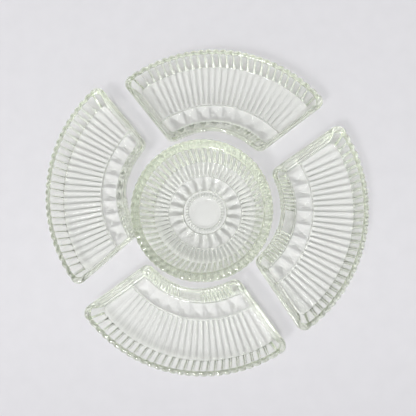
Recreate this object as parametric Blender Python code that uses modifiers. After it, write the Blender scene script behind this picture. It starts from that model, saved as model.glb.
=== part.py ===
"""A five-piece pressed-glass relish set: one round centre bowl and four like fan-shaped dishes on a table.

Each piece is one pressing of glass, smooth inside, with its pattern outside. Ribs run under the floor and
up the wall to a scalloped rim, and a band of pyramids lies under the floor, three ribs to a pyramid.
Lengths are in metres and angles in radians. The table is the plane z = 0.
"""

import math

import bmesh
import bpy

# The set on the table: how far every dish is drawn out from the bowl's axis, and the gap to the bowl's rim
# that this leaves. The bowl's place puts the middle of the whole set at the origin
DISH_SPREAD = 0.013
BOWL_CLEARANCE = 0.0073
BOWL_PLACE = (-0.0002, -0.0019)

# Each dish as it was set down by hand: its turn about the bowl's axis, how far it is drawn out past the
# spread, and how far it is pushed along the ring, counter-clockwise from above
DISH_PLACES = {
    "fan_dish_north": (math.radians(82.5), 0.0060, -0.0041),
    "fan_dish_west": (math.radians(175.0), 0.0037, -0.0172),
    "fan_dish_south": (math.radians(261.0), 0.0018, -0.0004),
    "fan_dish_east": (math.radians(349.0), 0.0016, 0.0058),
}

# Centre bowl
BOWL_HEIGHT = 0.040
BOWL_RIM_RADIUS = 0.069
BOWL_RIM_WIDTH = 0.0095
BOWL_FLOOR_RADIUS = 0.0515
BOWL_FLOOR_THICKNESS = 0.0055
BOWL_FOOT_RADIUS = 0.0535
BOWL_FOOT_RING = 0.0025
BOWL_RIM_RIB_DEPTH = 0.0005
BOWL_PETALS = 20
BOWL_PETAL_INNER_RADIUS = 0.0223
BOWL_PETAL_LENGTH = 0.0152
BOWL_DIMPLE_RADIUS = 0.018
BOWL_DIMPLE_DEPTH = 0.0008

# Fan-shaped dish, measured from the ring's centre
FAN_HEIGHT = 0.029
FAN_SPAN = math.radians(91.3)
FAN_OUTER_RADIUS = 0.1442
FAN_OUTER_CORNER = 0.008
FAN_INNER_CORNER = 0.007
FAN_RIM_WIDTH = 0.0055
FAN_SIDE_RIM_WIDTH = 0.0042
FAN_OUTER_SLOPE = 0.0058
FAN_SIDE_SLOPE = 0.0035
FAN_INNER_SLOPE = 0.0080
FAN_WALL = 0.0050
FAN_FLOOR_THICKNESS = 0.0050
FAN_FOOT_RING = 0.0025
FAN_RIM_RIB_DEPTH = 0.0010
FAN_PYRAMIDS = 8
FAN_PYRAMID_LENGTH = 0.0153
FAN_PYRAMID_MARGIN = 0.0071
SHORT_RIBS = 9
SHORT_RIB_HEIGHT = 0.0012
SHORT_RIB_RIM_HEIGHT = 0.0006
PLAIN_PANEL_RIBS = 6

# Counted in ribs: the cut pyramid at each end of the band, and the plain strip past the last groove
END_PYRAMID_RIBS = 1
END_STRIP_RIBS = 0.3

# Shared by the pressings
RIBS_PER_PYRAMID = 3
FOOT_RIB_DEPTH = 0.0010
FLOOR_GROOVE_DEPTH = 0.0013
FLOOR_GROOVE_SHARE = 0.45
PYRAMID_HEIGHT = 0.0030
PYRAMID_GAP = 0.0004
PYRAMID_TABLE_GAP = 0.0003
FOOT_BEVEL = 0.0025
RIM_BEVEL = 0.0008
FLOOR_FILLET = 0.0015

# Facets, and how far a cutter stands out of the surface that it cuts
POINTS_PER_RIB = 3
CORNER_POINTS = 5
FILLET_POINTS = 3
CAVITY_ARC_POINTS = 28
TURNED_STEPS = 60
CUTTER_MARGIN = 0.002
AXIS_MERGE = 0.00001
SMOOTH_ANGLE = math.radians(30.0)

GLASS_COLOUR = (0.86, 0.90, 0.84, 1.0)
GLASS_ROUGHNESS = 0.03
GLASS_INDEX = 1.51

# Sizes that follow from those above
FAN_RIBS = FAN_PYRAMIDS * RIBS_PER_PYRAMID + 2 * END_PYRAMID_RIBS
BOWL_RIBS = BOWL_PETALS * RIBS_PER_PYRAMID
FAN_INNER_RADIUS = BOWL_RIM_RADIUS + BOWL_CLEARANCE - DISH_SPREAD


def clear_scene():
    """Removes every object, so that the model starts from nothing."""
    for thing in list(bpy.data.objects):
        bpy.data.objects.remove(thing, do_unlink=True)


def new_collection(name):
    collection = bpy.data.collections.new(name)
    bpy.context.scene.collection.children.link(collection)
    return collection


def glass(name):
    """Clear pressed glass with a faint green cast."""
    material = bpy.data.materials.new(name)
    material.use_nodes = True
    shader = material.node_tree.nodes["Principled BSDF"]
    shader.inputs["Base Color"].default_value = GLASS_COLOUR
    shader.inputs["Roughness"].default_value = GLASS_ROUGHNESS
    shader.inputs["Metallic"].default_value = 0.0
    shader.inputs["IOR"].default_value = GLASS_INDEX
    shader.inputs["Transmission Weight"].default_value = 1.0
    return material


def mesh_object(name, form, collection):
    """An object made from a bmesh, with its faces turned outwards."""
    bmesh.ops.recalc_face_normals(form, faces=form.faces)
    mesh = bpy.data.meshes.new(name)
    form.to_mesh(mesh)
    form.free()
    thing = bpy.data.objects.new(name, mesh)
    collection.objects.link(thing)
    return thing


def cutter_object(name, form, collection):
    """A helper that cuts or joins, shown as wire and never rendered."""
    thing = mesh_object(name, form, collection)
    thing.hide_render = True
    thing.display_type = "WIRE"
    return thing


def lofted(rings):
    """A closed skin over rings that have the same number of points, filled at both ends."""
    form = bmesh.new()
    loops = [[form.verts.new(point) for point in ring] for ring in rings]
    for lower, upper in zip(loops, loops[1:]):
        for k in range(len(lower)):
            form.faces.new((lower[k - 1], lower[k], upper[k], upper[k - 1]))
    form.faces.new(list(reversed(loops[0])))
    form.faces.new(loops[-1])
    return form


def add_hull(form, points):
    """Adds the convex solid over a few points."""
    corners = [form.verts.new(point) for point in points]
    bmesh.ops.convex_hull(form, input=corners)


def turned_profile(profile, closed):
    """The edges of a profile in the XZ plane, to be turned about Z."""
    form = bmesh.new()
    corners = [form.verts.new((radius, 0.0, height)) for radius, height in profile]
    for first, second in zip(corners, corners[1:]):
        form.edges.new((first, second))
    if closed:
        form.edges.new((corners[-1], corners[0]))
    return form


def add_turn(thing):
    screw = thing.modifiers.new("turned", "SCREW")
    screw.axis = "Z"
    screw.steps = TURNED_STEPS
    screw.render_steps = TURNED_STEPS
    screw.use_merge_vertices = True
    screw.merge_threshold = AXIS_MERGE


def add_boolean(thing, other, operation):
    boolean = thing.modifiers.new(other.name, "BOOLEAN")
    boolean.operation = operation
    boolean.solver = "EXACT"
    boolean.object = other


def finished_mesh(thing, name):
    """The mesh of an object with its modifiers worked out, shaded smooth but for its pressed edges."""
    graph = bpy.context.evaluated_depsgraph_get()
    mesh = bpy.data.meshes.new_from_object(thing.evaluated_get(graph))
    mesh.name = name
    mesh.shade_smooth()
    mesh.set_sharp_from_angle(angle=SMOOTH_ANGLE)
    return mesh


def polar(radius, angle, height):
    return (radius * math.cos(angle), radius * math.sin(angle), height)


def valley(place):
    """How deep a rib pattern is at a place counted in ribs: 1 in a groove, 0 on a crest, round between."""
    away = abs(place - round(place))
    return (1.0 - 2.0 * away) ** 2


def fillet(radius, floor, size, slope):
    """A rounded corner from a floor to a wall, as radius and height, from the floor outwards."""
    turn = math.pi / 2 - math.atan(slope)
    steps = [turn * k / FILLET_POINTS for k in range(FILLET_POINTS + 1)]
    run = size * math.tan(turn / 2)
    return [(radius - run + size * math.sin(a), floor + size * (1.0 - math.cos(a))) for a in steps]


def floor_groove(form, angle, start, end, pitch):
    """One V groove cut upwards into an underside, along a radius, as wide as its share of the rib there."""
    corners = []
    for radius in (start, end):
        half = pitch * FLOOR_GROOVE_SHARE / 2
        below = half * (1.0 + CUTTER_MARGIN / FLOOR_GROOVE_DEPTH)
        corners.append(polar(radius, angle, FLOOR_GROOVE_DEPTH))
        corners.append(polar(radius, angle - below, -CUTTER_MARGIN))
        corners.append(polar(radius, angle + below, -CUTTER_MARGIN))
    add_hull(form, corners)


def pyramid(form, inner, outer, start, end, lean):
    """One four-sided pyramid that points down from a band between two radii and two angles, with its point
    at a share of the way from the first angle to the second."""
    middle = (inner + outer) / 2
    trim = PYRAMID_GAP / middle
    sides = (start + trim, end - trim)
    corners = []
    for radius in (inner + PYRAMID_GAP, outer - PYRAMID_GAP):
        for angle in sides:
            corners.append(polar(radius, angle, PYRAMID_HEIGHT + PYRAMID_GAP))
    corners.append(polar(middle, sides[0] + lean * (sides[1] - sides[0]), PYRAMID_TABLE_GAP))
    add_hull(form, corners)


# Centre bowl


def bowl_ring(radius, height, depth):
    """A circle notched between its ribs."""
    count = BOWL_RIBS * POINTS_PER_RIB
    ring = []
    for k in range(count):
        notch = depth * valley(k / POINTS_PER_RIB)
        ring.append(polar(radius - notch, 2.0 * math.pi * k / count, height))
    return ring


def bowl_body(collection):
    """The outside of the bowl as a solid: foot, flaring ribbed wall and scalloped rim."""
    knee = BOWL_FOOT_RADIUS + FOOT_BEVEL
    return mesh_object(
        "bowl_pressing",
        lofted(
            [
                bowl_ring(BOWL_FOOT_RADIUS, 0.0, 0.0),
                bowl_ring(knee, FOOT_BEVEL, FOOT_RIB_DEPTH),
                bowl_ring(BOWL_RIM_RADIUS, BOWL_HEIGHT - RIM_BEVEL, BOWL_RIM_RIB_DEPTH),
                bowl_ring(BOWL_RIM_RADIUS - RIM_BEVEL, BOWL_HEIGHT, BOWL_RIM_RIB_DEPTH),
            ]
        ),
        collection,
    )


def bowl_cavity(collection):
    """The smooth inside of the bowl, turned."""
    mouth = BOWL_RIM_RADIUS - BOWL_RIM_WIDTH
    slope = (mouth - BOWL_FLOOR_RADIUS) / (BOWL_HEIGHT - BOWL_FLOOR_THICKNESS)
    corner = fillet(BOWL_FLOOR_RADIUS, BOWL_FLOOR_THICKNESS, FLOOR_FILLET, slope)
    top = BOWL_HEIGHT + CUTTER_MARGIN
    profile = [(0.0, top), (mouth + slope * CUTTER_MARGIN, top)]
    profile += list(reversed(corner))
    profile.append((0.0, BOWL_FLOOR_THICKNESS))
    cutter = cutter_object("bowl_cavity", turned_profile(profile, False), collection)
    add_turn(cutter)
    return cutter


def bowl_underside_cutters(collection):
    """Floor grooves, the band that holds the petals, and the dimple in the middle."""
    petal_outer = BOWL_PETAL_INNER_RADIUS + BOWL_PETAL_LENGTH
    pitch = 2.0 * math.pi / BOWL_RIBS
    form = bmesh.new()
    for k in range(BOWL_RIBS):
        start = petal_outer + PYRAMID_GAP
        floor_groove(form, k * pitch, start, BOWL_FOOT_RADIUS - BOWL_FOOT_RING, pitch)
    grooves = cutter_object("bowl_floor_grooves", form, collection)

    band = [
        (petal_outer, PYRAMID_HEIGHT),
        (petal_outer, -CUTTER_MARGIN),
        (BOWL_PETAL_INNER_RADIUS, -CUTTER_MARGIN),
        (BOWL_PETAL_INNER_RADIUS, PYRAMID_HEIGHT),
    ]
    recess = cutter_object("bowl_petal_band", turned_profile(band, True), collection)
    add_turn(recess)

    dimple = [
        (0.0, BOWL_DIMPLE_DEPTH),
        (BOWL_DIMPLE_RADIUS - BOWL_DIMPLE_DEPTH, BOWL_DIMPLE_DEPTH),
        (BOWL_DIMPLE_RADIUS + CUTTER_MARGIN, -CUTTER_MARGIN),
        (0.0, -CUTTER_MARGIN),
    ]
    hollow = cutter_object("bowl_dimple", turned_profile(dimple, False), collection)
    add_turn(hollow)
    return [grooves, recess, hollow]


def bowl_petals(collection):
    """A ring of long pyramids under the floor, the first of them one rib on from the X axis."""
    form = bmesh.new()
    outer = BOWL_PETAL_INNER_RADIUS + BOWL_PETAL_LENGTH
    rib = 2.0 * math.pi / BOWL_RIBS
    for k in range(BOWL_PETALS):
        start = (k * RIBS_PER_PYRAMID + 1) * rib
        pyramid(form, BOWL_PETAL_INNER_RADIUS, outer, start, start + RIBS_PER_PYRAMID * rib, 1 / 2)
    return cutter_object("bowl_petals", form, collection)


def make_bowl(parts, helpers):
    pressing = bowl_body(helpers)
    add_boolean(pressing, bowl_cavity(helpers), "DIFFERENCE")
    for cutter in bowl_underside_cutters(helpers):
        add_boolean(pressing, cutter, "DIFFERENCE")
    add_boolean(pressing, bowl_petals(helpers), "UNION")
    bowl = bpy.data.objects.new("centre_bowl", finished_mesh(pressing, "centre_bowl"))
    bpy.data.objects.remove(pressing, do_unlink=True)
    bowl.data.materials.append(glass("centre_bowl_glass"))
    bowl.location = (BOWL_PLACE[0], BOWL_PLACE[1], 0.0)
    parts.objects.link(bowl)


# Fan-shaped dish


def corner_arc(centre, radius, start, end, points):
    """Points of a round corner, in the plane."""
    steps = [start + (end - start) * k / (points - 1) for k in range(points)]
    return [(centre[0] + radius * math.cos(a), centre[1] + radius * math.sin(a)) for a in steps]


def outer_arc_half(outer, corner, inset):
    """Half the angle of the outer arc between its corners, at one level of the dish."""
    return FAN_SPAN / 2 - math.asin((corner + inset) / (outer - corner))


def inner_arc_half(inner, corner, inset):
    return FAN_SPAN / 2 - math.asin((corner + inset) / (inner + corner))


def upper_half_corners(outer, inner, inset, outer_corner, inner_corner):
    """The two corners on one side, from the outer arc to the inner arc, with the straight side between."""
    square = FAN_SPAN / 2 + math.pi / 2
    outer_half = outer_arc_half(outer, outer_corner, inset)
    inner_half = inner_arc_half(inner, inner_corner, inset)
    far = polar(outer - outer_corner, outer_half, 0.0)
    near = polar(inner + inner_corner, inner_half, 0.0)
    points = corner_arc(far, outer_corner, outer_half, square, CORNER_POINTS)[1:]
    return points + corner_arc(near, inner_corner, square, inner_half + math.pi, CORNER_POINTS)[:-1]


def mirrored(points):
    """The same points on the other side of the dish, in the order that keeps the outline running round."""
    return [(x, -y) for x, y in reversed(points)]


def fan_foot():
    """Outer radius, inner radius and side inset of the dish where its foot bevel meets the wall."""
    return (FAN_OUTER_RADIUS - FAN_OUTER_SLOPE, FAN_INNER_RADIUS + FAN_INNER_SLOPE, FAN_SIDE_SLOPE)


def rib_pitch():
    """The angle from rib to rib: they fill the outer arc of the foot but for a plain strip at each end."""
    outer, _, inset = fan_foot()
    half = outer_arc_half(outer - FOOT_BEVEL, FAN_OUTER_CORNER - FOOT_BEVEL, inset + FOOT_BEVEL)
    return half / (FAN_RIBS / 2 + END_STRIP_RIBS)


def fan_ring(outer, inner, inset, shrink, height, rib_depth, short_rib_height):
    """The outline of the dish at one level, counter-clockwise: ribbed outer arc, corners, sides and inner
    arc with its short ribs."""
    outer_corner = FAN_OUTER_CORNER - shrink
    inner_corner = FAN_INNER_CORNER - shrink
    half = outer_arc_half(outer, outer_corner, inset)
    pitch = rib_pitch()
    arc = [polar(outer, -half, height)[:2]]
    for k in range(FAN_RIBS * POINTS_PER_RIB + 1):
        place = k / POINTS_PER_RIB
        radius = outer - rib_depth * valley(place)
        arc.append(polar(radius, pitch * (place - FAN_RIBS / 2), height)[:2])
    arc.append(polar(outer, half, height)[:2])
    side = upper_half_corners(outer, inner, inset, outer_corner, inner_corner)

    # The inner arc from the middle: a plain panel, then a group of short ribs on each side
    group = []
    for k in range(2 * SHORT_RIBS + 1):
        radius = inner - short_rib_height * (k % 2)
        group.append(polar(radius, pitch * (PLAIN_PANEL_RIBS / 2 + k / 2), height)[:2])
    group.append(polar(inner, inner_arc_half(inner, inner_corner, inset), height)[:2])
    group.reverse()
    inner_arc = group + [(inner, 0.0)] + mirrored(group)
    flat = arc + side + inner_arc + mirrored(side)
    return [(x, y, height) for x, y in flat]


def cavity_ring(outer, inner, inset, shrink, height):
    """The outline of the smooth inside at one level."""
    outer_corner = FAN_OUTER_CORNER - shrink
    inner_corner = FAN_INNER_CORNER - shrink
    half = outer_arc_half(outer, outer_corner, inset)
    inner_half = inner_arc_half(inner, inner_corner, inset)
    steps = [2.0 * k / CAVITY_ARC_POINTS - 1.0 for k in range(CAVITY_ARC_POINTS + 1)]
    arc = [polar(outer, half * step, height)[:2] for step in steps]
    inner_arc = [polar(inner, -inner_half * step, height)[:2] for step in steps[::2]]
    side = upper_half_corners(outer, inner, inset, outer_corner, inner_corner)
    return [(x, y, height) for x, y in arc + side + inner_arc + mirrored(side)]


def fan_body(collection):
    """The outside of the dish as a solid: bevelled foot, flaring wall and scalloped rim."""
    outer, inner, inset = fan_foot()
    rim = FAN_OUTER_RADIUS
    mouth = FAN_INNER_RADIUS
    shrink = FOOT_BEVEL
    bottom = fan_ring(outer - shrink, inner + shrink, inset + shrink, shrink, 0.0, 0.0, 0.0)
    knee = fan_ring(outer, inner, inset, 0.0, FOOT_BEVEL, FOOT_RIB_DEPTH, SHORT_RIB_HEIGHT)
    rim_ribs = (FAN_RIM_RIB_DEPTH, SHORT_RIB_RIM_HEIGHT)
    brow = fan_ring(rim, mouth, 0.0, 0.0, FAN_HEIGHT - RIM_BEVEL, *rim_ribs)
    shrink = RIM_BEVEL
    top = fan_ring(rim - shrink, mouth + shrink, shrink, shrink, FAN_HEIGHT, *rim_ribs)
    return mesh_object("fan_pressing", lofted([bottom, knee, brow, top]), collection)


def fan_cavity(collection):
    """The smooth inside of the dish, with a rounded edge round its floor."""
    foot_outer, foot_inner, foot_inset = fan_foot()
    depth = FAN_HEIGHT - FAN_FLOOR_THICKNESS
    mouth_outer = FAN_OUTER_RADIUS - FAN_RIM_WIDTH
    mouth_inner = FAN_INNER_RADIUS + FAN_SIDE_RIM_WIDTH
    outer_run = mouth_outer - (foot_outer - FAN_WALL)
    inner_run = foot_inner + FAN_WALL - mouth_inner
    side_run = foot_inset + FAN_WALL - FAN_SIDE_RIM_WIDTH
    rings = []
    for across, height in fillet(0.0, FAN_FLOOR_THICKNESS, FLOOR_FILLET, outer_run / depth):
        rise = (height - FAN_FLOOR_THICKNESS) / depth
        shrink = FLOOR_FILLET - (height - FAN_FLOOR_THICKNESS)
        pull = rise * outer_run - across
        rings.append(
            cavity_ring(
                mouth_outer - outer_run + rise * outer_run - pull,
                mouth_inner + inner_run - rise * inner_run + pull,
                FAN_SIDE_RIM_WIDTH + side_run - rise * side_run + pull,
                max(shrink, 0.0),
                height,
            )
        )
    rise = 1.0 + CUTTER_MARGIN / depth
    rings.append(
        cavity_ring(
            mouth_outer - outer_run + rise * outer_run,
            mouth_inner + inner_run - rise * inner_run,
            FAN_SIDE_RIM_WIDTH + side_run - rise * side_run,
            0.0,
            FAN_HEIGHT + CUTTER_MARGIN,
        )
    )
    return cutter_object("fan_cavity", lofted(rings), collection)


def pyramid_band():
    """Inner and outer radius of the band of pyramids under the dish."""
    inner = fan_foot()[1] + FAN_PYRAMID_MARGIN
    return inner, inner + FAN_PYRAMID_LENGTH


def fan_underside_cutters(collection):
    """Floor grooves between the ribs, and the band that holds the pyramids."""
    inner, outer = pyramid_band()
    pitch = rib_pitch()
    angles = [pitch * (k - FAN_RIBS / 2) for k in range(FAN_RIBS + 1)]
    end = fan_foot()[0] - FOOT_BEVEL - FAN_FOOT_RING
    form = bmesh.new()
    for angle in angles:
        floor_groove(form, angle, outer + PYRAMID_GAP, end, pitch)
    grooves = cutter_object("fan_floor_grooves", form, collection)

    rings = []
    for angle in angles:
        rings.append(
            [
                polar(inner, angle, -CUTTER_MARGIN),
                polar(outer, angle, -CUTTER_MARGIN),
                polar(outer, angle, PYRAMID_HEIGHT),
                polar(inner, angle, PYRAMID_HEIGHT),
            ]
        )
    recess = cutter_object("fan_pyramid_band", lofted(rings), collection)
    return [grooves, recess]


def fan_pyramids(collection):
    """A curved row of pyramids under the floor, beside the inner wall, with one cut pyramid at each end."""
    inner, outer = pyramid_band()
    rib = rib_pitch()
    step = RIBS_PER_PYRAMID * rib
    half = step * FAN_PYRAMIDS / 2
    end = half + END_PYRAMID_RIBS * rib
    form = bmesh.new()
    for k in range(FAN_PYRAMIDS):
        pyramid(form, inner, outer, k * step - half, (k + 1) * step - half, 1 / 2)
    pyramid(form, inner, outer, half, end, 1)
    pyramid(form, inner, outer, -end, -half, 0)
    return cutter_object("fan_pyramids", form, collection)


def make_fan_dishes(parts, helpers):
    """One pressing, repeated as four loose dishes that stand round the bowl."""
    pressing = fan_body(helpers)
    add_boolean(pressing, fan_cavity(helpers), "DIFFERENCE")
    for cutter in fan_underside_cutters(helpers):
        add_boolean(pressing, cutter, "DIFFERENCE")
    add_boolean(pressing, fan_pyramids(helpers), "UNION")
    mesh = finished_mesh(pressing, "fan_dish")
    bpy.data.objects.remove(pressing, do_unlink=True)
    mesh.materials.append(None)
    for name, (turn, further, along) in DISH_PLACES.items():
        dish = bpy.data.objects.new(name, mesh)
        dish.material_slots[0].link = "OBJECT"
        dish.material_slots[0].material = glass(name + "_glass")
        out = DISH_SPREAD + further
        dish.location.x = BOWL_PLACE[0] + out * math.cos(turn) - along * math.sin(turn)
        dish.location.y = BOWL_PLACE[1] + out * math.sin(turn) + along * math.cos(turn)
        dish.rotation_euler.z = turn
        parts.objects.link(dish)


clear_scene()
relish_set = new_collection("relish_set")
cutters = new_collection("cutters")
make_bowl(relish_set, cutters)
make_fan_dishes(relish_set, cutters)
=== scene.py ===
import math

import bpy
import numpy as np
from mathutils import Matrix, Vector


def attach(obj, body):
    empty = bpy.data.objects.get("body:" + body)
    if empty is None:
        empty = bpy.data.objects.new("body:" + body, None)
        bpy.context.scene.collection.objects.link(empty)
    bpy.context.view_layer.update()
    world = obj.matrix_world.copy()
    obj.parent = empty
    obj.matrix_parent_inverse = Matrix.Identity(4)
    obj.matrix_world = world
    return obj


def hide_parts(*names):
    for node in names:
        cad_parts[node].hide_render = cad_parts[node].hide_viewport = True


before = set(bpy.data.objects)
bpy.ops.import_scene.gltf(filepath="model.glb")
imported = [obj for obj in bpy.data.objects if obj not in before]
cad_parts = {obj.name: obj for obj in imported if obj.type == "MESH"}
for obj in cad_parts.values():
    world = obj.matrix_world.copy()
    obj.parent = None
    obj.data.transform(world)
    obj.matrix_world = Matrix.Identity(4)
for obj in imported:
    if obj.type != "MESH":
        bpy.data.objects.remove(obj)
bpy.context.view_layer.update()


# Centre bowl
# A round bowl pressed from one gather of clear soda glass: the plunger leaves the inside smooth, and the
# mould cuts the outside into ribs that run from under the floor, up the wall and over the edge of the rim.

# The glass is measured in millimetres, and becomes metres when its mesh is made
MM = 0.001
BOWL_PLACE = np.array([-0.2, -1.9, 0.0])
BOWL_RIBS = 60
RIBS_PER_PYRAMID = 3

# Where the columns of the mesh stand along one rib, closest together beside the grooves
RIB_STEPS = np.array([0.0, 0.055, 0.13, 0.22, 0.36, 0.5, 0.64, 0.78, 0.87, 0.945])

# Radii of the rows of the mesh under the floor, closest together at the edges of the pattern
BOWL_UNDER_ROWS = np.concatenate([
    np.linspace(0.5, 13.0, 10), [13.5, 14.0, 14.3, 14.6], np.linspace(15.2, 22.1, 16), [22.3, 22.5],
    np.linspace(23.0, 37.3, 28), [37.5, 37.7, 38.1, 38.5, 38.9, 39.3], np.linspace(40.2, 53.0, 15)])

# The profile above that. A pair is a radius and a height, and turns are in degrees
BOWL_FOOT_RADIUS = 53.5
BOWL_FOOT_BEND = 2.6
BOWL_FOOT_TURN = 72.0
BOWL_WALL_LOW = (56.2, 2.4)
BOWL_WALL_HIGH = (68.9, 37.6)
BOWL_RIM_MIDDLE = np.array([64.2, 37.6])
BOWL_RIM_REACH = np.array([4.8, 2.4])
BOWL_RIM_POWER = 0.62
BOWL_INSIDE_HIGH = (59.4, 37.6)
BOWL_INSIDE_LOW = (51.8, 6.66)
BOWL_FILLET_MIDDLE = np.array([50.3, 7.0])
BOWL_FILLET = 1.5
BOWL_FILLET_START = 13.0
BOWL_FLOOR_EDGE = (49.4, 5.5)
BOWL_FLOOR_MIDDLE = (0.5, 5.5)

# How many rows of the mesh divide each stretch of the profile, before the first one of a stretch is dropped
# where it would lie on or close to the end of the stretch before
FOOT_ROWS = 7
BOWL_WALL_ROWS = 18
BOWL_RIM_ROWS = 19
BOWL_INSIDE_ROWS = 16
FILLET_ROWS = 8
BOWL_FLOOR_ROWS = 12

# Depths of the ribs, and the heights, radii and turns over the rim (in radians) between which they change
BOWL_FOOT_REEDS = 0.7
BOWL_WALL_REEDS = 1.8
BOWL_RIM_REEDS = 0.8
BOWL_REEDS_THIN = (28.0, 37.6)
RIM_REEDS_END = (0.9, 2.0)
BOWL_GROOVES = 1.35
BOWL_GROOVE_SHARE = 0.5
BOWL_GROOVES_START = (38.0, 39.2)
BOWL_GROOVES_THIN = (50.0, 52.5)
BOWL_GROOVES_LOSS = 0.3

# The pattern in the middle. Four edges are the radii where a band starts, is full, starts to end, and ends.
# The first long pyramid starts one rib on from the X axis
DOME_RADIUS = 13.5
DOME_HEIGHT = 0.9
RECESS_EDGES = (14.0, 14.6, 20.3, 21.2)
RECESS_HEIGHT = 0.25
BEADS = 40
BEAD_EDGES = (16.0, 17.0, 19.2, 20.2)
BEAD_HEIGHT = 0.9
PETAL_EDGES = (22.2, 22.4, 37.4, 37.6)
PETAL_MIDDLE = 29.9
PETAL_HALF_LENGTH = 7.6
PETAL_END_SLOPE = 0.55
PETAL_TABLE_GAP = 0.3
PETAL_FIRST_RIB = 1.0
PYRAMID_HEIGHT = 2.6

GLASS_TINT = (0.985, 0.99, 0.965, 1.0)
GLASS_INDEX = 1.51
GLASS_DEPTH_COLOUR = (0.68, 0.82, 0.42, 1.0)
GLASS_DEPTH_DENSITY = 5.5


def reeding(place):
    """Depth of a row of round ribs at a place counted in ribs: 1 in the groove at each whole number, falling
    to 0 on the crest half way between as the square of the distance to that crest."""
    away = np.abs(place - np.round(place))
    return (1.0 - 2.0 * away) ** 2


def floor_groove(place, share):
    """Depth of the grooves between flat ribs: 1 in the groove at each whole number, falling as half a cosine
    wave to 0 at a share of the pitch to each side, and flat from there to the next groove."""
    away = np.abs(place - np.round(place))
    return 0.5 + 0.5 * np.cos(np.pi * np.clip(away / share, 0.0, 1.0))


def step(value, low, high):
    """A rise from 0 at low to 1 at high, level at both ends: three times the square of the share of the way,
    less twice its cube."""
    share = np.clip((value - low) / (high - low), 0.0, 1.0)
    return share * share * (3.0 - 2.0 * share)


def band(value, edges):
    """A step up from 0 to 1 between the first two edges, and a step back down between the last two."""
    return step(value, edges[0], edges[1]) * (1.0 - step(value, edges[2], edges[3]))


def squared_turn(turn, power):
    """Sideways and upward share of a turn over a rim: cosine and sine, each raised to a power below 1, which
    flattens the top and squares the shoulders."""
    sideways = np.sign(np.cos(turn)) * np.abs(np.cos(turn)) ** power
    return sideways, np.abs(np.sin(turn)) ** power


def part_of(tree, vector, axis):
    """One of the three numbers of a vector."""
    node = tree.nodes.new("ShaderNodeSeparateXYZ")
    tree.links.new(vector, node.inputs["Vector"])
    return node.outputs[axis]


def noise(tree, place, scale, detail):
    """Cloudy noise over a place."""
    node = tree.nodes.new("ShaderNodeTexNoise")
    node.inputs["Scale"].default_value = scale
    node.inputs["Detail"].default_value = detail
    tree.links.new(place, node.inputs["Vector"])
    return node.outputs["Fac"]


def ramp(tree, value, low, high, first, last, eased):
    """A change from first, where the value is at low, to last, where it is at high: even, or level at both
    ends where it is eased."""
    node = tree.nodes.new("ShaderNodeMapRange")
    if eased:
        node.interpolation_type = "SMOOTHSTEP"
    node.inputs["From Min"].default_value = low
    node.inputs["From Max"].default_value = high
    node.inputs["To Min"].default_value = first
    node.inputs["To Max"].default_value = last
    tree.links.new(value, node.inputs["Value"])
    return node.outputs["Result"]


def worked_out(tree, operation, *values):
    """One step of arithmetic on one or two values, each the output of a node or a plain number."""
    node = tree.nodes.new("ShaderNodeMath")
    node.operation = operation
    for socket, value in zip(node.inputs, values):
        if isinstance(value, float):
            socket.default_value = value
        else:
            tree.links.new(value, socket)
    return node.outputs["Value"]


def pressed_glass():
    """Clear glass with a faint green cast that deepens with the thickness of glass in the line of sight.
    Two sizes of noise on the surface stand for the ripple and the chill marks that the mould leaves.

    Light on its way to the table goes straight through in part, where real glass would bend it. A facet lets
    in less the further it turns from the light and the steeper it is, a wall above the floor lets in a fixed
    share at least, and all that came in goes out again."""
    material = bpy.data.materials.new("pressed_glass")
    material.use_nodes = True
    tree = material.node_tree
    shader = tree.nodes["Principled BSDF"]
    shader.inputs["Base Color"].default_value = GLASS_TINT
    shader.inputs["Metallic"].default_value = 0.0
    shader.inputs["IOR"].default_value = GLASS_INDEX
    shader.inputs["Transmission Weight"].default_value = 1.0

    place = tree.nodes.new("ShaderNodeTexCoord").outputs["Object"]
    chill = noise(tree, place, scale=900.0, detail=3.0)
    gloss = ramp(tree, chill, low=0.35, high=0.75, first=0.0, last=0.03, eased=False)
    tree.links.new(gloss, shader.inputs["Roughness"])
    bump = tree.nodes.new("ShaderNodeBump")
    bump.inputs["Strength"].default_value = 0.015
    bump.inputs["Distance"].default_value = 0.0006
    tree.links.new(noise(tree, place, scale=160.0, detail=2.0), bump.inputs["Height"])
    tree.links.new(bump.outputs["Normal"], shader.inputs["Normal"])

    slant = tree.nodes.new("ShaderNodeLayerWeight")
    slant.inputs["Blend"].default_value = 0.5
    turned = ramp(tree, slant.outputs["Facing"], low=0.18, high=0.29, first=1.0, last=0.2, eased=True)
    side = tree.nodes.new("ShaderNodeNewGeometry")
    level = worked_out(tree, "ABSOLUTE", part_of(tree, side.outputs["Normal"], "Z"))
    steep = ramp(tree, level, low=0.78, high=0.95, first=0.25, last=1.0, eased=True)
    facet = worked_out(tree, "MULTIPLY", turned, steep)
    wall = ramp(tree, part_of(tree, place, "Z"), low=0.004, high=0.009, first=0.0, last=0.64, eased=False)
    inwards = worked_out(tree, "MAXIMUM", facet, wall)
    through = worked_out(tree, "MAXIMUM", inwards, side.outputs["Backfacing"])
    path = tree.nodes.new("ShaderNodeLightPath")
    light = worked_out(tree, "MAXIMUM", path.outputs["Is Shadow Ray"], path.outputs["Is Diffuse Ray"])
    solid = worked_out(tree, "SUBTRACT", 1.0, worked_out(tree, "MULTIPLY", light, through))
    tree.links.new(solid, shader.inputs["Alpha"])

    absorb = tree.nodes.new("ShaderNodeVolumeAbsorption")
    absorb.inputs["Color"].default_value = GLASS_DEPTH_COLOUR
    absorb.inputs["Density"].default_value = GLASS_DEPTH_DENSITY
    tree.links.new(absorb.outputs["Volume"], tree.nodes["Material Output"].inputs["Volume"])
    return material


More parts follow.
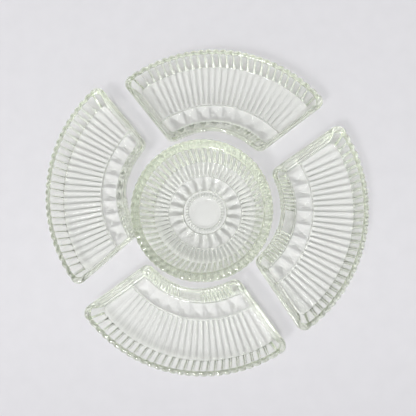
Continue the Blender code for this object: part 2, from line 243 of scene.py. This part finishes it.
def skin(name, points, quads, material, body, node):
    """A closed mesh from an array of points in millimetres and an array of four-sided faces, smooth shaded,
    that rides on a body and stands for a node. A face with a repeated corner has three sides."""
    corners = np.where(quads[:, 2] == quads[:, 3], 3, 4)
    keep = np.ones(quads.shape, bool)
    keep[corners == 3, 3] = False
    starts = np.concatenate([[0], np.cumsum(corners)[:-1]])
    mesh = bpy.data.meshes.new(name)
    mesh.vertices.add(len(points))
    mesh.vertices.foreach_set("co", np.ascontiguousarray(points * MM, np.float32).ravel())
    mesh.loops.add(int(corners.sum()))
    mesh.loops.foreach_set("vertex_index", quads[keep].astype(np.int32))
    mesh.polygons.add(len(quads))
    mesh.polygons.foreach_set("loop_start", starts.astype(np.int32))
    mesh.update(calc_edges=True)
    mesh.validate()
    mesh.shade_smooth()
    mesh.materials.append(material)
    piece = bpy.data.objects.new(name, mesh)
    bpy.context.scene.collection.objects.link(piece)
    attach(piece, body)
    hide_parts(node)


def between_rings(rings):
    """Four-sided faces between each closed ring of points and the next."""
    after = np.roll(rings, -1, axis=1)
    return np.stack([rings[:-1], after[:-1], after[1:], rings[1:]], axis=-1).reshape(-1, 4)


def bowl_rows():
    """The bowl's profile from the middle of its underside, out, up the wall, over the rim and down to the
    middle of its floor. Returns for each row its radius and height, the way it faces (outwards and up), the
    depth of the round ribs and the depth of the grooves between flat ribs, and how many rows lie under the
    floor."""
    under = np.stack([BOWL_UNDER_ROWS, np.zeros(len(BOWL_UNDER_ROWS))], axis=-1)
    bend = np.radians(np.linspace(0.0, BOWL_FOOT_TURN, FOOT_ROWS))
    foot = BOWL_FOOT_BEND * np.stack([np.sin(bend), 1.0 - np.cos(bend)], axis=-1)
    foot[:, 0] += BOWL_FOOT_RADIUS
    wall = np.linspace(BOWL_WALL_LOW, BOWL_WALL_HIGH, BOWL_WALL_ROWS)[1:]
    turn = np.linspace(0.0, np.pi, BOWL_RIM_ROWS)[1:]
    brow = BOWL_RIM_MIDDLE + BOWL_RIM_REACH * np.stack(squared_turn(turn, BOWL_RIM_POWER), axis=-1)
    inside = np.linspace(BOWL_INSIDE_HIGH, BOWL_INSIDE_LOW, BOWL_INSIDE_ROWS)[1:]
    hollow = np.radians(np.linspace(BOWL_FILLET_START, 90.0, FILLET_ROWS)[1:])
    fillet = BOWL_FILLET_MIDDLE + BOWL_FILLET * np.stack([np.cos(hollow), -np.sin(hollow)], axis=-1)
    floor = np.linspace(BOWL_FLOOR_EDGE, BOWL_FLOOR_MIDDLE, BOWL_FLOOR_ROWS)
    profile = np.concatenate([under, foot, wall, brow, inside, fillet, floor])

    along = np.gradient(profile, axis=0)
    along = along / np.linalg.norm(along, axis=1, keepdims=True)
    facing = np.stack([along[:, 1], -along[:, 0]], axis=-1)
    counts = [len(under), len(foot), len(wall), len(brow)]
    foot_start, wall_start, brow_start, inside_start = np.cumsum(counts)
    facing[:foot_start] = (0.0, -1.0)

    reeds = np.zeros(len(profile))
    reeds[foot_start:wall_start] = np.linspace(BOWL_FOOT_REEDS, BOWL_WALL_REEDS, len(foot))
    thinner = step(wall[:, 1], *BOWL_REEDS_THIN)
    reeds[wall_start:brow_start] = BOWL_WALL_REEDS - (BOWL_WALL_REEDS - BOWL_RIM_REEDS) * thinner
    reeds[brow_start:inside_start] = BOWL_RIM_REEDS * (1.0 - step(turn, *RIM_REEDS_END))
    grooves = np.zeros(len(profile))
    grooves[:foot_start] = BOWL_GROOVES * step(BOWL_UNDER_ROWS, *BOWL_GROOVES_START)
    grooves[:foot_start] *= 1.0 - BOWL_GROOVES_LOSS * step(BOWL_UNDER_ROWS, *BOWL_GROOVES_THIN)
    return profile, facing, reeds, grooves, foot_start


def bowl_underside(radius, turn):
    """Height of the pattern under the bowl's floor: a shallow dome that falls with the square of the radius,
    a shallow ring that holds a cosine wave of fine beads, and a ring of long four-sided pyramids that point
    down, three ribs wide. A pyramid is as high as the larger of its distances across and, at a flatter
    slope, along."""
    dome = DOME_HEIGHT * (1.0 - np.clip(radius / DOME_RADIUS, 0.0, 1.0) ** 2)
    recess = RECESS_HEIGHT * band(radius, RECESS_EDGES)
    beads = BEAD_HEIGHT * band(radius, BEAD_EDGES) * 0.5 * (1.0 + np.cos(turn * BEADS))
    rib = turn * BOWL_RIBS / (2.0 * np.pi) - PETAL_FIRST_RIB
    across = np.abs(2.0 * (rib / RIBS_PER_PYRAMID % 1.0) - 1.0)
    along = np.abs((radius - PETAL_MIDDLE) / PETAL_HALF_LENGTH)
    petals = PETAL_TABLE_GAP + PYRAMID_HEIGHT * np.maximum(across, PETAL_END_SLOPE * along)
    return dome + recess + beads + band(radius, PETAL_EDGES) * petals


def bowl_skin():
    """Points and faces of the whole bowl: its profile turned about the axis, pushed in along the way each
    row faces by the ribs' depth at that turn, with one point on the axis at each end."""
    profile, facing, reeds, grooves, under = bowl_rows()
    place = (np.arange(BOWL_RIBS)[:, None] + RIB_STEPS).ravel()
    turn = 2.0 * np.pi * place / BOWL_RIBS
    press = reeds[:, None] * reeding(place) + grooves[:, None] * floor_groove(place, BOWL_GROOVE_SHARE)
    radius = profile[:, :1] - facing[:, :1] * press
    height = profile[:, 1:] - facing[:, 1:] * press
    height[:under] += bowl_underside(profile[:under, :1], turn)
    points = np.stack([radius * np.cos(turn), radius * np.sin(turn), height], axis=-1).reshape(-1, 3)
    poles = np.array([[0.0, 0.0, DOME_HEIGHT], [0.0, 0.0, profile[-1, 1]]])
    points = np.concatenate([points, poles]) + BOWL_PLACE
    index = np.arange(radius.size).reshape(radius.shape)
    after = np.roll(index, -1, axis=1)
    pole = np.full(len(turn), radius.size)
    first = np.stack([pole, after[0], index[0], index[0]], axis=-1)
    last = np.stack([pole + 1, index[-1], after[-1], after[-1]], axis=-1)
    return points, np.concatenate([first, between_rings(index), last])


glass = pressed_glass()
bowl_points, bowl_faces = bowl_skin()
skin("bowl_glass", bowl_points, bowl_faces, glass, "bowl", "centre_bowl")


# Fan-shaped dishes
# Four dishes from one mould, each a quarter of the ring round the bowl, pressed in the same clear glass and
# set down loose on the table. Ribs run under the floor and up the outer wall, three to each pyramid.

# How far every dish is drawn out from the bowl's axis, and then each dish as it was set down: its turn about
# that axis, how much further out it lies, and how far it is pushed along the ring
DISH_SPREAD = 13.0
DISH_PLACES = {
    "north": (math.radians(82.5), 6.0, -4.1),
    "west": (math.radians(175.0), 3.7, -17.2),
    "south": (math.radians(261.0), 1.8, -0.4),
    "east": (math.radians(349.0), 1.6, 5.8),
}

# One dish lies between two rays, this far to each side of its middle
FAN_HALF_ANGLE = math.radians(45.65)
FAN_RIBS = 26
FAN_OUTER_CORNER = 8.0
FAN_INNER_CORNER = 7.0
FAN_CORNER_STEPS = 7

# The plain strip past the last groove, as columns counted in ribs, and the share of each half of the dish
# in which the columns are drawn in to its side
END_STRIP = np.array([0.06, 0.13, 0.21, 0.3])
DRAWN_SHARE = 4.0 / FAN_RIBS

# Radii of the rows of the mesh under the floor, closest together at the ring groove and the pyramids' ends
FAN_UNDER_ROWS = np.concatenate([
    np.linspace(129.0, 95.7, 22), [95.3, 95.0, 94.6, 94.4, 94.15, 93.9, 93.65, 93.4, 93.2, 93.1, 92.9, 92.7],
    np.linspace(92.3, 78.5, 26), [78.2, 77.9]])

# A level of the dish is an outer radius, an inner radius, an inset of the sides, a shrink of the corners and
# a height. A way is how these change together
FAN_FOOT = np.array([135.9, 73.8, 6.0, 2.5, 0.0])
FAN_FOOT_WAY = np.array([0.45, -0.3, -1.0, -1.0, 0.0])
FAN_FOOT_BEND = 2.5
FAN_FOOT_TURN = 76.0
FAN_WALL_TOP = np.array([144.1, 60.9, 0.1, -1.0, 26.8])
FAN_RIM = np.array([144.2, 60.8, 0.0, -1.0, 26.8])
FAN_RIM_WAY = np.array([-5.5, 4.4, 4.2, 1.0, 0.0])
FAN_RIM_CROWN = 2.2
FAN_RIM_POWER = 0.85
FAN_FLOOR_EDGE = np.array([133.66, 75.87, 8.29, 0.3, 6.18])
FAN_FILLET_WAY = np.array([-1.0, 1.0, 1.0, 1.0, 0.0])
FAN_FILLET = 1.5
FAN_FILLET_START = 12.0
FAN_FLOOR_HEIGHT = 5.0
FAN_WALL_ROWS = 16
FAN_RIM_ROWS = 17
FAN_INSIDE_ROWS = 14
UPWARDS = np.array([0.0, 0.0, 0.0, 0.0, 1.0])

# Depths of the ribs on the outer wall, and the short ribs of the inner wall: how high they stand, where they
# rise at the foot and run out over the rim, and from which rib to which rib they go, from the middle
FAN_FOOT_REEDS = 0.9
FAN_WALL_REEDS = 1.4
SHORT_RIB_HEIGHT = 0.9
SHORT_RIBS_RISE = (0.0, 1.5)
SHORT_RIBS_END = (0.0, 1.8)
SHORT_RIBS_FROM = 3.0
SHORT_RIBS_TO = 12.0

# The pattern under the floor
FAN_GROOVES = 1.1
FAN_GROOVE_SHARE = 0.34
FAN_GROOVES_START = (94.6, 95.3)
FAN_GROOVES_ROUND = (128.8, 135.3)
RING_GROOVE_RADIUS = 93.9
RING_GROOVE_HALF_WIDTH = 0.7
RING_GROOVE_DEPTH = 1.2
PYRAMID_EDGES = (75.2, 77.9, 92.9, 93.1)
PYRAMID_LAST_RIB = (13.0, 13.15)
PYRAMID_MIDDLE = 85.4
PYRAMID_HALF_LENGTH = 7.5
PYRAMID_END_SLOPE = 0.9
PYRAMID_TABLE_GAP = 0.2


def fan_side(level, shares):
    """One end of the dish at one level, from the end of the outer arc to the end of the inner arc: a round
    corner, a straight side at an inset from the ray that bounds the dish, and a round corner. The straight
    side is divided by the given shares. Returns its points and the way that each faces, as an angle."""
    outer, inner, inset, shrink = level[:4]
    outer_corner = FAN_OUTER_CORNER - shrink
    inner_corner = FAN_INNER_CORNER - shrink
    far = outer - outer_corner
    near = inner + inner_corner
    far_turn = FAN_HALF_ANGLE - math.asin((inset + outer_corner) / far)
    near_turn = FAN_HALF_ANGLE - math.asin((inset + inner_corner) / near)
    square = FAN_HALF_ANGLE + math.pi / 2
    first = np.linspace(far_turn, square, FAN_CORNER_STEPS)
    second = np.linspace(square, near_turn + math.pi, FAN_CORNER_STEPS)
    heads = np.stack([np.cos(first), np.sin(first)], axis=-1)
    tails = np.stack([np.cos(second), np.sin(second)], axis=-1)
    start = far * np.array([math.cos(far_turn), math.sin(far_turn)]) + outer_corner * heads
    end = near * np.array([math.cos(near_turn), math.sin(near_turn)]) + inner_corner * tails
    straight = start[-1] + shares[:, None] * (end[0] - start[-1])
    points = np.concatenate([start, straight, end])
    ways = np.concatenate([first, np.full(len(shares), square), second])
    return points, ways


def fan_shares():
    """Where the rows under the floor cross the straight side of the foot, as shares of its length. A point
    on the side lies as far along its ray as the root of its radius squared less the inset squared, and the
    side runs between the points where the two corners touch it."""
    outer, inner, inset, shrink = FAN_FOOT[:4]
    outer_corner = FAN_OUTER_CORNER - shrink
    inner_corner = FAN_INNER_CORNER - shrink
    start = math.sqrt((outer - outer_corner) ** 2 - (inset + outer_corner) ** 2)
    end = math.sqrt((inner + inner_corner) ** 2 - (inset + inner_corner) ** 2)
    return (start - np.sqrt(FAN_UNDER_ROWS ** 2 - inset ** 2)) / (start - end)


def fan_places():
    """Where the columns of the dish's mesh stand, counted in ribs from its middle: along every rib, and on
    the plain strip past the last groove at each end."""
    last = FAN_RIBS / 2
    ribs = (np.arange(FAN_RIBS)[:, None] + RIB_STEPS).ravel() - last
    return np.concatenate([-last - END_STRIP[::-1], ribs, [last], last + END_STRIP])


def fan_grid(side, columns, reference):
    """Points across one level of the dish, in plan: each row keeps the radius of its end on the side, and
    each column keeps its own angle, apart from the last ones, which are drawn in smoothly to follow the
    side."""
    radius = np.hypot(side[:, 0], side[:, 1])[:, None]
    reach = np.arctan2(side[:, 1], side[:, 0])[:, None]
    drawn = step(np.abs(columns) / reference, 1.0 - DRAWN_SHARE, 1.0) * np.sign(columns)
    angle = columns + drawn * (reach - reference)
    return np.stack([radius * np.cos(angle), radius * np.sin(angle)], axis=-1)


def around(grid):
    """The border of a grid as one loop: outer arc, one side, inner arc back, and the other side."""
    return np.concatenate([grid[0], grid[1:-1, -1], grid[-1, ::-1], grid[-2:0:-1, 0]])


def cells(index):
    """Four-sided faces between neighbours in a grid. They face down where its rows run inwards, and up where
    its rows and columns are swapped."""
    return np.stack([index[:-1, :-1], index[1:, :-1], index[1:, 1:], index[:-1, 1:]], axis=-1).reshape(-1, 4)


def fan_levels():
    """The walls of the dish as levels from the foot, up the outside, over the rim, and down the inside to
    the floor: a round bend, a straight wall, a squared turn, a straight wall and a round fillet. Returns the
    levels, the way each faces (outwards and up), and the depth of the ribs on its outer and inner wall."""
    bend = np.radians(np.linspace(0.0, FAN_FOOT_TURN, FOOT_ROWS))[:, None]
    foot = FAN_FOOT + FAN_FOOT_BEND * (np.sin(bend) * FAN_FOOT_WAY + (1.0 - np.cos(bend)) * UPWARDS)
    wall = np.linspace(foot[-1], FAN_WALL_TOP, FAN_WALL_ROWS)[1:]
    turn = np.linspace(0.0, np.pi, FAN_RIM_ROWS)[1:]
    sideways, crown = squared_turn(turn[:, None], FAN_RIM_POWER)
    rim = FAN_RIM + 0.5 * (1.0 - sideways) * FAN_RIM_WAY + FAN_RIM_CROWN * crown * UPWARDS
    inside = np.linspace(rim[-1], FAN_FLOOR_EDGE, FAN_INSIDE_ROWS)[1:]
    start = math.radians(FAN_FILLET_START)
    curve = np.linspace(start, np.pi / 2, FILLET_ROWS)[1:, None]
    back = FAN_FILLET * (math.cos(start) - np.cos(curve))
    drop = FAN_FILLET * (np.sin(curve) - math.sin(start))
    fillet = FAN_FLOOR_EDGE + back * FAN_FILLET_WAY - drop * UPWARDS
    fillet[:, 4] = np.maximum(fillet[:, 4], FAN_FLOOR_HEIGHT)
    level = np.concatenate([foot, wall, rim, inside, fillet])

    out = np.gradient(level[:, 0])
    up = np.gradient(level[:, 4])
    facing = np.stack([up, -out], axis=-1) / np.hypot(out, up)[:, None]
    facing[0] = (0.0, -1.0)
    wall_start, rim_start, inside_start = np.cumsum([len(foot), len(wall), len(rim)])
    reeds = np.zeros(len(level))
    reeds[:wall_start] = np.linspace(FAN_FOOT_REEDS, FAN_WALL_REEDS, len(foot))
    reeds[wall_start:rim_start] = FAN_WALL_REEDS
    reeds[rim_start:inside_start] = FAN_WALL_REEDS * (1.0 - step(turn, *RIM_REEDS_END))
    short = np.zeros(len(level))
    short[1:rim_start] = SHORT_RIB_HEIGHT * step(level[1:rim_start, 4], *SHORT_RIBS_RISE)
    short[rim_start:inside_start] = SHORT_RIB_HEIGHT * (1.0 - step(turn, *SHORT_RIBS_END))
    return level, facing, reeds, short


def fan_underside(radius, place):
    """Height of the pattern under the dish's floor: grooves between flat ribs, which turn into round ribs
    towards the foot; a ring groove, half a cosine wave to each side, where they start; and inside it a
    curved row of four-sided pyramids that point down, three ribs wide. A pyramid is as high as the larger of
    its distances across and, at a flatter slope, along, up to its full height."""
    foot = step(radius, *FAN_GROOVES_ROUND)
    ribs = floor_groove(place, FAN_GROOVE_SHARE) * (1.0 - foot) + reeding(place) * foot
    grooves = FAN_GROOVES * step(radius, *FAN_GROOVES_START) * ribs
    aside = np.clip((radius - RING_GROOVE_RADIUS) / RING_GROOVE_HALF_WIDTH, -1.0, 1.0)
    ring = RING_GROOVE_DEPTH * (0.5 + 0.5 * np.cos(np.pi * aside))
    across = np.abs(2.0 * (place / RIBS_PER_PYRAMID % 1.0) - 1.0)
    along = np.abs((radius - PYRAMID_MIDDLE) / PYRAMID_HALF_LENGTH)
    slope = np.minimum(np.maximum(across, PYRAMID_END_SLOPE * along), 1.0)
    pyramids = PYRAMID_TABLE_GAP + PYRAMID_HEIGHT * slope
    inside = band(radius, PYRAMID_EDGES) * (1.0 - step(np.abs(place), *PYRAMID_LAST_RIB))
    return grooves + ring + inside * pyramids


def fan_border(places, pitch, ways, grid):
    """What runs round the border of every level: the depth of the outer wall's round ribs, whose last groove
    runs out round the corners; the height of the short ribs on the inner wall; and the way out, in plan."""
    corner = END_STRIP[-1] + (ways[:FAN_CORNER_STEPS] - ways[0]) * FAN_OUTER_CORNER / (pitch * FAN_FOOT[0])
    notch = np.zeros(grid.shape[:2])
    notch[:FAN_CORNER_STEPS, 0] = np.clip(1.0 - 2.0 * corner, 0.0, 1.0) ** 2
    notch[:, -1] = notch[:, 0]
    notch[0] = reeding(places)
    ribbed = (np.abs(places) > SHORT_RIBS_FROM) & (np.abs(places) < SHORT_RIBS_TO)
    ridge = np.zeros(grid.shape[:2])
    ridge[-1] = np.where(ribbed, 1.0 - reeding(places), 0.0)
    head = np.zeros(grid.shape[:2])
    head[:, 0] = -ways
    head[:, -1] = ways
    head[0] = np.arctan2(grid[0, :, 1], grid[0, :, 0])
    head[-1] = np.arctan2(grid[-1, :, 1], grid[-1, :, 0]) + math.pi
    head = around(head)
    return around(notch), around(ridge), np.stack([np.cos(head), np.sin(head)], axis=-1)


def fan_skin():
    """Points and faces of one dish about the ring's centre, its middle along X: a patterned underside, walls
    lofted through the levels and pushed in or out by their ribs along the way they face, and a smooth floor
    inside, joined along their borders."""
    level, facing, reeds, short = fan_levels()
    shares = fan_shares()
    places = fan_places()
    ways = fan_side(level[0], shares)[1]
    reference = ways[0]
    pitch = reference / places[-1]
    grids = [fan_grid(fan_side(row, shares)[0], places * pitch, reference) for row in level]
    notch, ridge, outwards = fan_border(places, pitch, ways, grids[0])
    push = short[:, None] * ridge - reeds[:, None] * notch
    plan = np.stack([around(grid) for grid in grids]) + (facing[:, :1] * push)[..., None] * outwards
    loops = np.concatenate([plan, (level[:, 4:] + facing[:, 1:] * push)[..., None]], axis=-1)

    rows, width = grids[0].shape[:2]
    index = np.arange(rows * width).reshape(rows, width)
    pattern = fan_underside(np.hypot(grids[0][..., 0], grids[0][..., 1]), places)
    under = np.concatenate([grids[0], pattern[..., None]], axis=-1).reshape(-1, 3)
    under[around(index), 2] = loops[0, :, 2]
    floor = np.concatenate([grids[-1], np.full((rows, width, 1), level[-1, 4])], axis=-1).reshape(-1, 3)
    walls = loops[1:-1].reshape(-1, 3)
    hoops = len(under) + np.arange(len(walls)).reshape(len(loops) - 2, -1)
    above = len(under) + len(walls) + index
    rings = np.concatenate([around(index)[None], hoops, around(above)[None]])
    faces = np.concatenate([cells(index), between_rings(rings), cells(above.T)])
    return np.concatenate([under, walls, floor]), faces


fan_points, fan_faces = fan_skin()
for name, (turn, further, along) in DISH_PLACES.items():
    out = np.array([math.cos(turn), math.sin(turn), 0.0])
    beside = np.array([-math.sin(turn), math.cos(turn), 0.0])
    turned = fan_points @ np.array([out, beside, [0.0, 0.0, 1.0]])
    placed = turned + (DISH_SPREAD + further) * out + along * beside + BOWL_PLACE
    skin(name + "_glass", placed, fan_faces, glass, name + "_dish", "fan_dish_" + name)


# Table, light and camera
# A plain off-white table top, with shade painted into its colour that darkens it towards the near side,
# under a window lamp high on the near left.
# The room is bright on the near side and overhead, dark on the far side and evenly pale at the horizon.

# Lengths here are in metres. The camera looks almost straight down from a little to the near right
TABLE_HALF_WIDTH = 3.0
TABLE_HEIGHT = -0.0003
TABLE_TONE = (0.685, 0.674, 0.69, 1.0)
# Painted shade: the table's colour on the near side, darker as if shaded there
TABLE_PAINTED_SHADE_TONE = (0.51, 0.50, 0.52, 1.0)
LAMP_PLACE = Vector((-0.90, -1.44, 2.94))
LAMP_SIZE = 0.55
LAMP_POWER = 54.0
ROOM_COLOUR = (0.97, 0.98, 1.0, 1.0)
ROOM_BRIGHT_SIDE = (-0.1, -0.9, 0.42)
HORIZON_LEVEL = 0.72
CAMERA_PLACE = Vector((0.05385, -0.04199, 0.5357))
CAMERA_AIM = Vector((0.00285, 0.00311, 0.0))
CAMERA_LENS = 45.37

# How often light may turn or pass, as it crosses many walls of glass in a low view
GLASS_BOUNCES = 32
GLOSS_BOUNCES = 16


def table_paint_and_painted_shade():
    """A matt off-white with shade painted into it, darkening it smoothly towards the near side, times a
    faint noise for its fleck.
    """
    material = bpy.data.materials.new("off_white_table")
    material.use_nodes = True
    tree = material.node_tree
    shader = tree.nodes["Principled BSDF"]
    shader.inputs["Roughness"].default_value = 0.85
    shader.inputs["Specular IOR Level"].default_value = 0.2
    place = tree.nodes.new("ShaderNodeTexCoord").outputs["Object"]
    # Painted shade: the table's colour is blended darker towards the near side, standing in for shade
    # falling there
    tone_with_painted_shade = tree.nodes.new("ShaderNodeMix")
    tone_with_painted_shade.data_type = "RGBA"
    tone_with_painted_shade.inputs["A"].default_value = TABLE_PAINTED_SHADE_TONE
    tone_with_painted_shade.inputs["B"].default_value = TABLE_TONE
    away = ramp(tree, part_of(tree, place, "Y"), low=-0.50, high=-0.04, first=0.0, last=1.0, eased=True)
    tree.links.new(away, tone_with_painted_shade.inputs["Factor"])
    grain = noise(tree, place, scale=60.0, detail=5.0)
    fleck = ramp(tree, grain, low=0.0, high=1.0, first=0.965, last=1.035, eased=False)
    flecked = tree.nodes.new("ShaderNodeMix")
    flecked.data_type = "RGBA"
    flecked.blend_type = "MULTIPLY"
    flecked.inputs["Factor"].default_value = 1.0
    tree.links.new(tone_with_painted_shade.outputs["Result"], flecked.inputs["A"])
    tree.links.new(fleck, flecked.inputs["B"])
    tree.links.new(flecked.outputs["Result"], shader.inputs["Base Color"])
    return material


def room_light():
    """Light from all round: a broad glow about the bright side and a patch of ceiling, faded out below into
    an even level round the horizon."""
    world = bpy.data.worlds.new("room")
    world.use_nodes = True
    tree = world.node_tree
    way = tree.nodes.new("ShaderNodeTexCoord").outputs["Generated"]
    up = part_of(tree, way, "Z")
    towards = tree.nodes.new("ShaderNodeVectorMath")
    towards.operation = "DOT_PRODUCT"
    towards.inputs[1].default_value = ROOM_BRIGHT_SIDE
    tree.links.new(way, towards.inputs[0])
    glow = ramp(tree, towards.outputs["Value"], low=0.3, high=0.9, first=0.09, last=1.85, eased=True)
    ceiling = ramp(tree, up, low=0.90, high=0.95, first=0.0, last=0.78, eased=True)
    level = tree.nodes.new("ShaderNodeMix")
    level.data_type = "FLOAT"
    level.inputs["A"].default_value = HORIZON_LEVEL
    tree.links.new(worked_out(tree, "ADD", glow, ceiling), level.inputs["B"])
    above = ramp(tree, up, low=0.17, high=0.34, first=0.0, last=1.0, eased=True)
    tree.links.new(above, level.inputs["Factor"])
    background = tree.nodes["Background"]
    background.inputs["Color"].default_value = ROOM_COLOUR
    tree.links.new(level.outputs["Result"], background.inputs["Strength"])
    return world


scene = bpy.context.scene
near_left = (-TABLE_HALF_WIDTH, -TABLE_HALF_WIDTH, TABLE_HEIGHT)
near_right = (TABLE_HALF_WIDTH, -TABLE_HALF_WIDTH, TABLE_HEIGHT)
far_right = (TABLE_HALF_WIDTH, TABLE_HALF_WIDTH, TABLE_HEIGHT)
far_left = (-TABLE_HALF_WIDTH, TABLE_HALF_WIDTH, TABLE_HEIGHT)
table = bpy.data.meshes.new("table")
table.from_pydata([near_left, near_right, far_right, far_left], [], [(0, 1, 2, 3)])
table.materials.append(table_paint_and_painted_shade())
table_top = bpy.data.objects.new("table", table)
scene.collection.objects.link(table_top)

window = bpy.data.lights.new("window", "AREA")
window.shape = "RECTANGLE"
window.size = LAMP_SIZE
window.size_y = LAMP_SIZE
window.energy = LAMP_POWER
window_lamp = bpy.data.objects.new("window", window)
window_lamp.location = LAMP_PLACE
window_lamp.rotation_euler = (-LAMP_PLACE).to_track_quat("-Z", "Y").to_euler()
scene.collection.objects.link(window_lamp)

scene.world = room_light()
scene.cycles.max_bounces = GLASS_BOUNCES
scene.cycles.transmission_bounces = GLASS_BOUNCES
scene.cycles.transparent_max_bounces = GLASS_BOUNCES
scene.cycles.glossy_bounces = GLOSS_BOUNCES
scene.cycles.blur_glossy = 0.0

camera = bpy.data.cameras.new("camera")
camera.sensor_width = 36.0
camera.lens = CAMERA_LENS
camera.clip_start = 0.01
eye = bpy.data.objects.new("camera", camera)
eye.location = CAMERA_PLACE
ahead = (CAMERA_AIM - CAMERA_PLACE).normalized()
right = ahead.cross(Vector((0.0, 1.0, 0.0))).normalized()
eye.rotation_euler = Matrix((right, right.cross(ahead), -ahead)).transposed().to_euler()
scene.collection.objects.link(eye)
scene.camera = eye
scene.view_settings.view_transform = "Standard"
